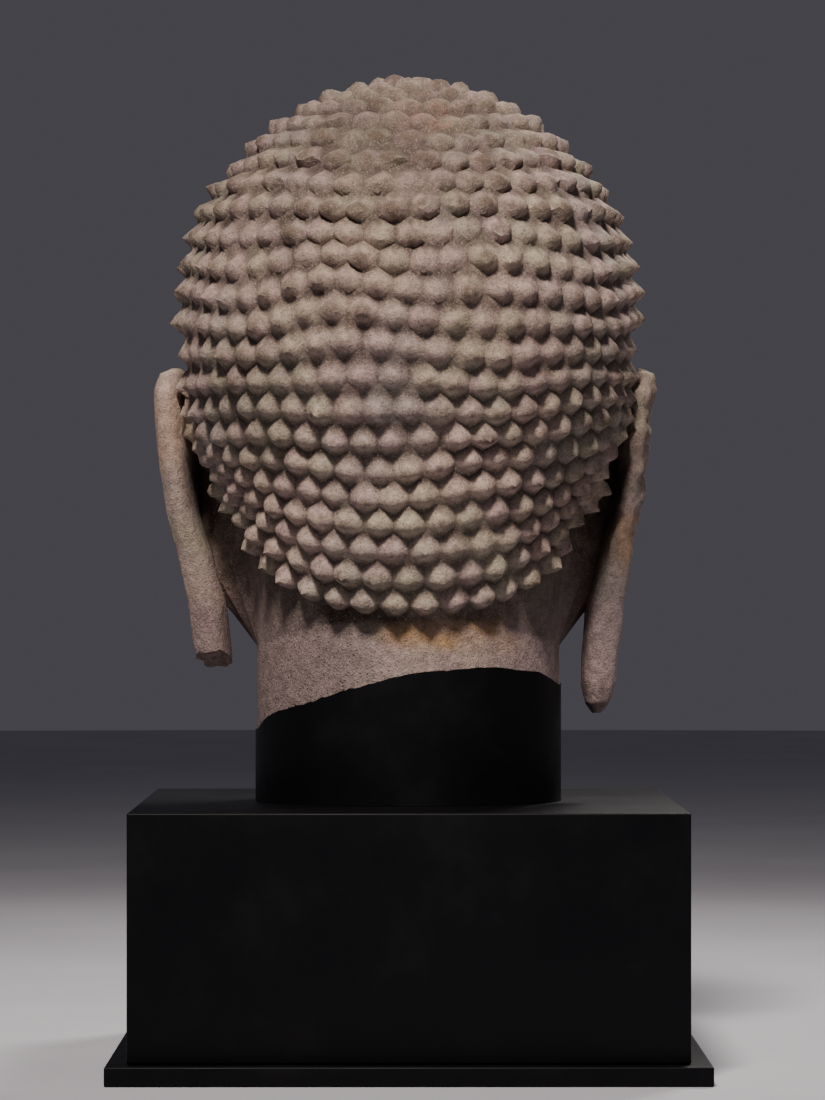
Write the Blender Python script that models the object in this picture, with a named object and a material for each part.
"""A carved stone head with rows of pointed snail-shell curls, on its black neck support and plinth.

Metres, +Z up, with the origin at the middle of the plinth's underside. The face looks along -Y, and +X is
the head's own left. The pieces are the stone head, the support fitted under its broken neck, the plinth
block and the foot plate. The carving is given in parts, thousandths of the head's height above the plinth.
"""

import math

import bmesh
import bpy
import numpy as np
from mathutils import Matrix, Vector

# Driving dimensions of the stand
PLINTH_WIDTH = 0.450
PLINTH_DEPTH = 0.450
PLINTH_HEIGHT = 0.200
PLATE_THICKNESS = 0.016
PLATE_OVERHANG = 0.017
EDGE_BEVEL = 0.0015
SMOOTH_ANGLE = math.radians(22)
FIT_GAP = 0.0003

# Driving dimensions of the head
HEAD_HEIGHT = 0.615
NECK_HALF_WIDTH = 0.128
NECK_HALF_DEPTH = 0.115
SUPPORT_LIP = 0.0015
SUPPORT_SIDES = 40
CURL_ROW_PITCH = 0.0237
CURL_PITCH = 0.0240
CURL_HEIGHT = 0.0125
SKIN_UNDER_CURLS = 0.0015
RUBBED_SHARE = 0.55

# How the rows of curls bend, in radians seen from SIGHT
ROW_LIFT = 0.06
NAPE_SAG = 0.045
ROW_TILT = 0.03
HUMP_RISE = 0.05
HUMP_PLACE = (math.radians(20), math.radians(12))

PLINTH_BOTTOM = PLATE_THICKNESS + FIT_GAP
PLINTH_TOP = PLINTH_BOTTOM + PLINTH_HEIGHT
SUPPORT_BOTTOM = PLINTH_TOP + FIT_GAP
PART = HEAD_HEIGHT / 1000.0

# Heights and places of the carving, in parts
SIGHT = (0.0, 0.0, 624.0)
BROW_LEVEL = 584.0
BROW_RISE = 46.0
EYE_PLACE = (103.0, 540.0)
EYE_SIZE = (66.0, 38.0)
NOSE_ROOT = 590.0
NOSE_TIP = 455.0
NOSE_BASE = 432.0
MOUTH_LEVEL = 376.0
CHIN_LEVEL = 300.0
URNA_LEVEL = 646.0
NECK_TOP = 440.0
NECK_MELT = 34.0

# The rounded masses of the head, melted together one after another: centre, radii, softness of the join
MASSES = (
    ((0, 0, 652), (305, 310, 329), 0),  # skull
    ((0, 6, 755), (254, 258, 210), 6),  # fullness high on the skull
    ((0, -20, 520), (284, 235, 170), 60),  # temples
    ((0, -72, 470), (262, 226, 222), 50),  # face
    ((0, -190, 330), (120, 98, 76), 45),  # jaw
    ((0, 46, 410), (200, 194, 200), 60),  # nape
    ((NECK_HALF_WIDTH / PART, -44, 410), (84, 52, 170), 34),  # web of stone between each lobe and the neck
)

# The broken neck: share of the half width towards the head's left, and the break's height over the plinth
BREAK_LINE = ((-1.0, 0.100), (-0.85, 0.109), (-0.6, 0.1145), (-0.3, 0.1135), (0.1, 0.106), (0.45, 0.0925),
              (0.85, 0.078), (0.93, 0.072), (1.0, 0.060))
BREAK_RIPPLE = 0.0012
BREAK_CELLS = 11
CUT_MARGIN = 0.006

# The edge of the hair: degrees round from the back, and degrees above the level of SIGHT
HAIRLINE = (
    (0, -62.6), (22, -61.8), (36, -59.5), (46, -56.5), (57, -52), (66, -45.5), (73, -36), (77, -26),
    (79, -12), (80, 3), (104, 13), (117, 22), (132, 26), (180, 27),
)

# One ear from top to bottom, in parts: height, middle across, middle along, half thickness, half width
EAR_SECTIONS = (
    (594, 318, 8, 5, 18),
    (586, 320, 8, 17, 48),
    (560, 318, 6, 23, 66),
    (510, 314, 4, 24, 69),
    (455, 312, 0, 26, 64),
    (395, 308, -6, 26, 52),
    (335, 290, -12, 28, 42),
    (270, 275, -16, 29, 37),
    (205, 268, -18, 29, 35),
    (160, 266, -19, 28, 33),
    (134, 265, -19, 20, 24),
    (120, 265, -19, 8, 10),
)
EAR_FLARE = math.radians(21)
LOBE_CLEARANCE = 25.0

# How far the right ear stands nearer the head than the left one: heights, and insets there
RIGHT_EAR_INSETS = ((205, 270, 395, 520, 575), (4, 6, 10, 12, 4))
CHIP_PLACE = (-362.0, 30.0, 548.0)
CHIP_SIZE = (26.0, 60.0, 17.0)
EAR_SIDES = 14
BROKEN_LOBE_LEVEL = 200.0
BREAK_SLOPE = 0.35

# How the carving is divided into faces
FACE_ROWS = ((262, 340, 19), (340, 478, 10), (478, 510, 14), (510, 560, 8.5), (560, 660, 14), (660, 790, 32))
NECK_LEVELS = (-30, 60, 150, 186, 206, 226, 243)
HALF_COLUMNS = (0, 22, 44, 62, 78, 90, 102, 113, 122, 130, 137, 143, 149, 155, 160, 164, 168, 171, 174, 177)


def ellipsoid(points, centre, radii):
    """Distance, near enough, from each point to an ellipsoid's surface; negative inside."""
    offset = points - np.array(centre)
    near = np.linalg.norm(offset / np.array(radii), axis=1)
    steep = np.linalg.norm(offset / np.array(radii) ** 2, axis=1)
    return near * (near - 1.0) / np.maximum(steep, 1e-9)


def melt(one, other, softness):
    """Smallest of two distances, with the crease between them rounded over softness."""
    share = np.clip(0.5 + 0.5 * (other - one) / softness, 0.0, 1.0)
    return other * (1 - share) + one * share - softness * share * (1 - share)


def ease(low, high, value):
    """0 below low and 1 above high, with a smooth rise between; low may be the larger."""
    share = np.clip((value - low) / (high - low), 0.0, 1.0)
    return share * share * (3 - 2 * share)


def bump(x, z, centre, size):
    """A round hill, 1 at its centre and 0 at the edge of its ellipse."""
    reach = ((x - centre[0]) / size[0]) ** 2 + ((z - centre[1]) / size[1]) ** 2
    return np.clip(1.0 - reach, 0.0, 1.0)


def head_mass(points):
    """The head without its features: skull, face, jaw, nape and neck melted into one, in parts."""
    neck = (NECK_HALF_WIDTH / PART, NECK_HALF_DEPTH / PART)
    across = np.hypot(points[:, 0] / neck[0], points[:, 1] / neck[1])
    column = np.maximum((across - 1.0) * min(neck), points[:, 2] - NECK_TOP)
    aside = points * (1, 1, 1)
    aside[:, 0] = np.abs(aside[:, 0])
    mass = ellipsoid(aside, *MASSES[0][:2])
    for centre, radii, softness in MASSES[1:]:
        mass = melt(mass, ellipsoid(aside, centre, radii), softness)
    return melt(mass, column, NECK_MELT)


def sight_lines(around, above):
    """Unit directions from SIGHT, for angles round from the back and angles above the level."""
    return np.stack(
        [np.sin(around) * np.cos(above), np.cos(around) * np.cos(above), np.sin(above)], axis=1
    )


def on_mass(directions):
    """Where lines from SIGHT leave the head's mass, found by halving, in parts."""
    near = np.full(len(directions), 60.0)
    far = np.full(len(directions), 1100.0)
    for _ in range(28):
        middle = 0.5 * (near + far)
        inside = head_mass(np.array(SIGHT) + directions * middle[:, None]) < 0
        near = np.where(inside, middle, near)
        far = np.where(inside, far, middle)
    return np.array(SIGHT) + directions * near[:, None]


def outward(points):
    """Unit normals of the head's mass at these points."""
    step = 0.5
    slopes = [
        head_mass(points + step * axis) - head_mass(points - step * axis) for axis in np.eye(3)
    ]
    slopes = np.stack(slopes, axis=1)
    return slopes / np.linalg.norm(slopes, axis=1)[:, None]


def nose_relief(x, z):
    """Bridge, tip and wings of the nose, in parts forward of the face."""
    levels = (NOSE_BASE - 8, NOSE_BASE + 6, NOSE_TIP, 500, 560, NOSE_ROOT + 10)
    height = np.interp(z, levels, (2, 38, 58, 42, 17, 6))
    width = np.interp(z, (NOSE_BASE, NOSE_TIP, 500, 560, NOSE_ROOT + 20), (24, 27, 22, 18, 24))
    fade = ease(NOSE_ROOT + 40, NOSE_ROOT - 10, z) * ease(NOSE_BASE - 10, NOSE_BASE, z)
    bridge = height * np.exp(-((x / width) ** 2) * 0.9) * fade
    wings = 27 * bump(x, z, (37, NOSE_BASE + 17), (24, 23)) ** 0.6
    return np.maximum(bridge, wings)


def eye_relief(x, z):
    """The hollow under the brow, the lowered lid and the narrow opening, in parts forward."""
    brow = BROW_LEVEL + BROW_RISE * np.sin(math.pi * np.clip((x - 12) / 222, 0, 1)) ** 0.8
    sides = ease(8, 34, x) * ease(236, 190, x)
    hollow = -22 * ease(brow, brow - 20, z) * ease(440, 500, z) * sides
    ridge = 6 * np.exp(-(((z - brow - 6) / 12) ** 2)) * sides
    lid = 27 * bump(x, z, EYE_PLACE, EYE_SIZE) ** 0.7
    along = (x - 44) / 120
    edge = 527 - 40 * along * (1 - along) + 5 * along
    opening = (along > 0) & (along < 1) & (np.abs(z - edge + 4) < 7 * np.sin(math.pi * np.clip(along, 0, 1)))
    return hollow + ridge + lid - 7 * opening


def mouth_relief(x, z):
    """Lips, the groove over them and the chin, in parts forward."""
    corner = np.clip(1 - (x / 62) ** 2, 0, 1)
    line = MOUTH_LEVEL + 5 * (x / 62) ** 2
    upper = 12 * bump(x, z, (13, MOUTH_LEVEL + 10), (52, 13)) ** 0.5
    lower = 14 * bump(x, z, (0, MOUTH_LEVEL - 12), (46, 15)) ** 0.5
    parting = -7 * corner * np.exp(-(((z - line) / 4) ** 2))
    groove = -4 * np.exp(-((x / 9) ** 2)) * ease(388, 396, z) * ease(NOSE_BASE + 2, NOSE_BASE - 6, z)
    chin = 16 * bump(x, z, (0, CHIN_LEVEL), (62, 44)) - 5 * bump(x, z, (0, 338), (60, 14))
    return np.maximum(upper, lower) + parting + groove + chin


def face_relief(points):
    """How far each point of the face stands forward of the plain mass, in parts."""
    x, z = np.abs(points[:, 0]), points[:, 2]
    urna = 5 * bump(x, z, (0, URNA_LEVEL), (13, 13)) ** 0.5
    cheek = 7 * bump(x, z, (135, 440), (95, 95)) + 6 * bump(x, z, (0, 385), (115, 60))
    relief = np.maximum(nose_relief(x, z), eye_relief(x, z)) + mouth_relief(x, z) + urna + cheek
    return relief * ease(-60, -170, points[:, 1])


def neck_folds(points):
    """Shallow rings across the front of the neck, in parts outward."""
    front = ease(60, -90, points[:, 1])
    ring = sum(np.exp(-(((points[:, 2] - level) / 6) ** 2)) for level in (226, 186))
    return -5 * ring * front


def skin_angles():
    """The angles of the skin's rows and columns, close together on the face and wide apart elsewhere."""
    levels = [np.arange(low, high, step) for low, high, step in FACE_ROWS]
    levels = np.concatenate(levels)
    face_rows = np.arctan2(levels - SIGHT[2], 300)
    neck_rows = -np.arctan2(SIGHT[2] - np.array(NECK_LEVELS), NECK_HALF_DEPTH / PART)
    crown_rows = np.radians([38, 55, 72])
    rows = np.concatenate([neck_rows, face_rows, crown_rows])
    half = np.radians(HALF_COLUMNS)
    columns = np.concatenate([half, [math.pi], -half[:0:-1]])
    return np.sort(rows), columns


def ring_mesh(rows, columns):
    """A closed ball of rings: its columns and rows of faces stand for the given angles.

    A tube of rings is spun from one edge, and each end is closed round a single point."""
    mesh = bmesh.new()
    layer = mesh.verts.layers.int.new("row")
    side = mesh.verts.layers.int.new("column")
    rings = []
    for row in range(len(rows)):
        made = bmesh.ops.create_circle(mesh, segments=len(columns), radius=1.0)["verts"]
        for column, vertex in enumerate(made):
            vertex[layer] = row
            vertex[side] = column
        rings.append({edge for vertex in made for edge in vertex.link_edges})
    for lower, upper in zip(rings, rings[1:]):
        bmesh.ops.bridge_loops(mesh, edges=list(lower | upper))
    return mesh, layer, side, rings


def skin():
    """The head's bare surface with its face, from inside the stand up to under the hair."""
    rows, columns = skin_angles()
    mesh, row_of, column_of, rings = ring_mesh(rows, columns)
    around = np.array([columns[v[column_of]] for v in mesh.verts])
    above = np.array([rows[v[row_of]] for v in mesh.verts])
    points = on_mass(sight_lines(around, above))
    points = points + outward(points) * neck_folds(points)[:, None]
    points[:, 1] -= face_relief(points)
    for vertex, point in zip(mesh.verts, points):
        vertex.co = point
    for ring in (rings[0], rings[-1]):
        cap = bmesh.ops.contextual_create(mesh, geom=list(ring))["faces"]
        bmesh.ops.poke(mesh, faces=cap)
    return mesh


def hairline(around):
    """The hair's edge, in radians above SIGHT, at an angle round from the back."""
    turned = np.abs((np.asarray(around) + math.pi) % (2 * math.pi) - math.pi)
    places, heights = np.radians(np.array(HAIRLINE, float)).T
    return np.interp(turned, places, heights)


def row_height(start, around):
    """A row of curls starts at this height at the back, sags like a chain there and has the carver's hump."""
    level = ROW_LIFT * ease(math.pi / 2, math.radians(55), start) * (1 - np.cos(around))
    low = ease(math.radians(-15), math.radians(-50), start)
    sag = NAPE_SAG * low * np.sin(1.4 * np.clip(around, -1.9, 1.9)) ** 2
    middle = np.exp(-(((start - math.radians(-28)) / 0.3) ** 2))
    tilt = -ROW_TILT * middle * np.sin(around)
    hump = np.exp(-(((around - HUMP_PLACE[0]) / 0.24) ** 2) - ((start - HUMP_PLACE[1]) / 0.3) ** 2)
    return start + level + sag + tilt + HUMP_RISE * hump


def back_starts():
    """The height at the back of each row of curls, one pitch apart along the back of the head."""
    heights = np.linspace(hairline(0.0) - 0.18, math.pi / 2, 400)
    line = on_mass(sight_lines(np.zeros(400), heights))
    length = np.concatenate([[0], np.cumsum(np.linalg.norm(np.diff(line, axis=0), axis=1))])
    pitch = CURL_ROW_PITCH / PART
    first = np.interp(hairline(0.0), heights, length) + 0.5 * pitch
    rows = round((length[-1] - first) / pitch)
    return np.interp(np.linspace(first, length[-1], rows + 1), length, heights), pitch


def curl_places():
    """Angles of every curl, and of the places just past the hair's edge that bound the last ones."""
    starts, pitch = back_starts()
    below = starts[0] - (starts[1] - starts[0]) * 0.9
    places = []
    for index, start in enumerate([below, *starts[:-1]]):
        turn = np.linspace(-math.pi, math.pi, 361)
        line = on_mass(sight_lines(turn, row_height(start, turn)))
        length = np.concatenate([[0], np.cumsum(np.linalg.norm(np.diff(line, axis=0), axis=1))])
        count = max(6, round(length[-1] * PART / CURL_PITCH))
        middle = np.interp(0.0, turn, length)
        offset = 0.5 * (index % 2)
        marks = (middle + (np.arange(count) + offset) * length[-1] / count) % length[-1]
        around = np.interp(marks, length, turn)
        places.append(np.stack([around, row_height(start, around)], axis=1))
    places.append(np.array([[0.0, math.pi / 2]]))
    angles = np.concatenate(places)
    edge = on_mass(sight_lines(angles[:, 0], hairline(angles[:, 0])))
    inside = on_mass(sight_lines(angles[:, 0], angles[:, 1])) - edge
    depth = np.linalg.norm(inside, axis=1) * np.sign(angles[:, 1] - hairline(angles[:, 0])) / pitch
    near = depth > -1.7
    return angles[near], depth[near] > 0.3


def curl_wear(points):
    """How much of a curl's height is left: little on the rubbed crown, all of it lower down."""
    rubbed = ellipsoid(points, (-30, 210, 900), (135, 130, 100))
    return RUBBED_SHARE + (1 - RUBBED_SHARE) * ease(0, 120, rubbed)


def curls():
    """The cap of curls: a many-sided point on each place, and valleys half way between neighbours.

    The places are joined as triangles, each triangle gets a valley point, and every edge between two
    places is turned to run between two valley points."""
    angles, real = curl_places()
    directions = sight_lines(angles[:, 0], angles[:, 1])
    mesh = bmesh.new()
    kind = mesh.verts.layers.int.new("kind")
    for direction, is_curl in zip(directions, real):
        mesh.verts.new(direction)[kind] = 2 if is_curl else 1
    bmesh.ops.convex_hull(mesh, input=mesh.verts)
    bmesh.ops.triangulate(mesh, faces=mesh.faces)
    edges = list(mesh.edges)
    for valley in bmesh.ops.poke(mesh, faces=mesh.faces)["verts"]:
        valley[kind] = 0
    bmesh.ops.rotate_edges(mesh, edges=edges)
    outside = [f for f in mesh.faces if not any(v[kind] == 2 for v in f.verts)]
    bmesh.ops.delete(mesh, geom=outside, context="FACES")
    bare = [v for v in mesh.verts if not v.link_faces]
    bmesh.ops.delete(mesh, geom=bare, context="VERTS")

    lines = np.array([v.co.normalized() for v in mesh.verts])
    base = on_mass(lines)
    rise = np.where([v[kind] == 2 for v in mesh.verts], CURL_HEIGHT / PART * curl_wear(base), 0.0)
    edge = np.array([v.is_boundary for v in mesh.verts])
    rise = rise + np.where(edge, -3.0, 1.0) * SKIN_UNDER_CURLS / PART
    points = base + outward(base) * rise[:, None]
    for vertex, point in zip(mesh.verts, points):
        vertex.co = point
    rim = [e for e in mesh.edges if e.is_boundary]
    made = bmesh.ops.extrude_edge_only(mesh, edges=rim)["geom"]
    inner = [v for v in made if isinstance(v, bmesh.types.BMVert)]
    bmesh.ops.pointmerge(mesh, verts=inner, merge_co=Vector(SIGHT))
    return mesh


def ear(side):
    """One long ear as a stack of oval sections, flared outward at its back edge."""
    mesh = bmesh.new()
    rings = []
    for height, across, along, half_thick, half_wide in EAR_SECTIONS:
        flare = EAR_FLARE * float(ease(330, 520, height))
        across = max(across, NECK_HALF_WIDTH / PART + LOBE_CLEARANCE + half_thick)
        if side < 0:
            across -= np.interp(height, *RIGHT_EAR_INSETS)
        turn = Matrix.Translation((side * across, along, height)) @ Matrix.Rotation(-side * flare, 4, "Z")
        shape = Matrix.Diagonal((half_thick, half_wide, 1.0, 1.0))
        made = bmesh.ops.create_circle(mesh, segments=EAR_SIDES, radius=1.0, matrix=turn @ shape)["verts"]
        rings.append({edge for vertex in made for edge in vertex.link_edges})
    for upper, lower in zip(rings, rings[1:]):
        bmesh.ops.bridge_loops(mesh, edges=list(upper | lower))
    for ring in (rings[0], rings[-1]):
        bmesh.ops.contextual_create(mesh, geom=list(ring))
    return mesh


def snap_lobe(mesh):
    """Breaks the lobe off on a slope and leaves a flat scar."""
    geometry = list(mesh.verts) + list(mesh.edges) + list(mesh.faces)
    cut = bmesh.ops.bisect_plane(
        mesh,
        geom=geometry,
        plane_co=(0, 0, BROKEN_LOBE_LEVEL),
        plane_no=Vector((0, BREAK_SLOPE, -1)).normalized(),
        clear_outer=True,
    )["geom_cut"]
    rim = [e for e in cut if isinstance(e, bmesh.types.BMEdge)]
    bmesh.ops.contextual_create(mesh, geom=rim)
    return mesh


def helix_chip():
    """A small angular lump that takes a chip out of the right ear's upper edge."""
    mesh = bmesh.new()
    place = Matrix.Translation(CHIP_PLACE) @ Matrix.Rotation(0.5, 4, "Y") @ Matrix.Diagonal((*CHIP_SIZE, 1.0))
    bmesh.ops.create_icosphere(mesh, subdivisions=1, radius=1.0, matrix=place)
    return tool("helix_chip", mesh, PART, PLINTH_TOP)


def solid(name, mesh, scale=1.0, lift=0.0):
    """A Blender object from a bmesh, scaled and lifted, with its faces made triangles and turned outward."""
    place = Matrix.Translation((0, 0, lift)) @ Matrix.Scale(scale, 4)
    bmesh.ops.transform(mesh, matrix=place, verts=mesh.verts)
    bmesh.ops.triangulate(mesh, faces=mesh.faces)
    bmesh.ops.recalc_face_normals(mesh, faces=mesh.faces)
    data = bpy.data.meshes.new(name)
    mesh.to_mesh(data)
    mesh.free()
    made = bpy.data.objects.new(name, data)
    bpy.context.scene.collection.objects.link(made)
    return made


def tool(name, mesh, scale=1.0, lift=0.0):
    """A solid that only joins or cuts another, hidden from renders."""
    made = solid(name, mesh, scale, lift)
    made.hide_render = True
    made.display_type = "WIRE"
    return made


def combine(target, other, operation):
    """Adds one Boolean of another solid to the target."""
    step = target.modifiers.new(other.name, "BOOLEAN")
    step.operation = operation
    step.object = other
    step.solver = "EXACT"


def finish(target, colour, roughness):
    """Gives a solid its own material."""
    material = bpy.data.materials.new(target.name)
    material.use_nodes = True
    shader = material.node_tree.nodes["Principled BSDF"]
    shader.inputs["Base Color"].default_value = (*colour, 1.0)
    shader.inputs["Roughness"].default_value = roughness
    shader.inputs["Metallic"].default_value = 0.0
    target.data.materials.append(material)
    target.data.shade_smooth()
    target.data.set_sharp_from_angle(angle=SMOOTH_ANGLE)


def break_height(x, y):
    """Height of the break over the plinth: low at the head's left, with a crest right of the middle."""
    share = x / NECK_HALF_WIDTH
    places, heights = np.array(BREAK_LINE).T
    ripple = BREAK_RIPPLE * math.sin(9 * share + 5 * y / NECK_HALF_DEPTH) * math.sin(4 * share - 1)
    return float(np.interp(share, places, heights)) + ripple


def under_break(name, gap):
    """A block that fills everything under the break, its top this far below the break."""
    half_x = NECK_HALF_WIDTH + CUT_MARGIN
    half_y = NECK_HALF_DEPTH + CUT_MARGIN
    mesh = bmesh.new()
    bmesh.ops.create_grid(mesh, x_segments=BREAK_CELLS, y_segments=BREAK_CELLS, size=1.0)
    for vertex in mesh.verts:
        x, y = vertex.co.x * half_x, vertex.co.y * half_y
        vertex.co = (x, y, PLINTH_TOP + break_height(x, y) - gap)
    below = bmesh.ops.extrude_face_region(mesh, geom=list(mesh.faces))["geom"]
    low = [v for v in below if isinstance(v, bmesh.types.BMVert)]
    for vertex in low:
        vertex.co.z = -PLINTH_HEIGHT
    return tool(name, mesh)


def stone_head():
    """The whole carved head: skin, curls and ears joined, and the neck broken off below."""
    head = solid("stone_head", skin(), PART, PLINTH_TOP)
    combine(head, tool("curl_cap", curls(), PART, PLINTH_TOP), "UNION")
    combine(head, tool("left_ear", snap_lobe(ear(1)), PART, PLINTH_TOP), "UNION")
    combine(head, tool("right_ear", ear(-1), PART, PLINTH_TOP), "UNION")
    combine(head, helix_chip(), "DIFFERENCE")
    combine(head, under_break("neck_break", 0.0), "DIFFERENCE")
    finish(head, (0.36, 0.29, 0.23), 0.85)


def neck_support():
    """The black column under the neck: the neck's own oval, shaped on top to meet the break."""
    half_width = NECK_HALF_WIDTH + SUPPORT_LIP
    half_depth = NECK_HALF_DEPTH + SUPPORT_LIP
    top = PLINTH_TOP + 1.4 * max(height for _, height in BREAK_LINE)
    height = top - SUPPORT_BOTTOM
    mesh = bmesh.new()
    lift = Matrix.Translation((0, 0, SUPPORT_BOTTOM + height / 2))
    place = lift @ Matrix.Diagonal((half_width, half_depth, 1, 1))
    bmesh.ops.create_cone(
        mesh, cap_ends=True, segments=SUPPORT_SIDES, radius1=1.0, radius2=1.0, depth=height, matrix=place
    )
    column = solid("neck_support", mesh)
    combine(column, under_break("support_top", FIT_GAP), "INTERSECT")
    finish(column, (0.006, 0.006, 0.008), 0.45)


def slab(name, width, depth, height, bottom):
    """A rectangular piece with softened edges, standing on its bottom height."""
    mesh = bmesh.new()
    place = Matrix.Translation((0, 0, bottom + height / 2)) @ Matrix.Diagonal((width, depth, height, 1))
    bmesh.ops.create_cube(mesh, size=1.0, matrix=place)
    bmesh.ops.bevel(
        mesh, geom=list(mesh.edges), offset=EDGE_BEVEL, segments=1, profile=0.5, affect="EDGES", material=-1
    )
    piece = solid(name, mesh)
    finish(piece, (0.007, 0.007, 0.009), 0.4)


def main():
    """Clears the scene and builds every piece."""
    for old in list(bpy.data.objects):
        bpy.data.objects.remove(old)
    plate = (PLINTH_WIDTH + 2 * PLATE_OVERHANG, PLINTH_DEPTH + 2 * PLATE_OVERHANG, PLATE_THICKNESS)
    slab("plinth_foot_plate", *plate, 0.0)
    slab("plinth_block", PLINTH_WIDTH, PLINTH_DEPTH, PLINTH_HEIGHT, PLINTH_BOTTOM)
    neck_support()
    stone_head()


main()
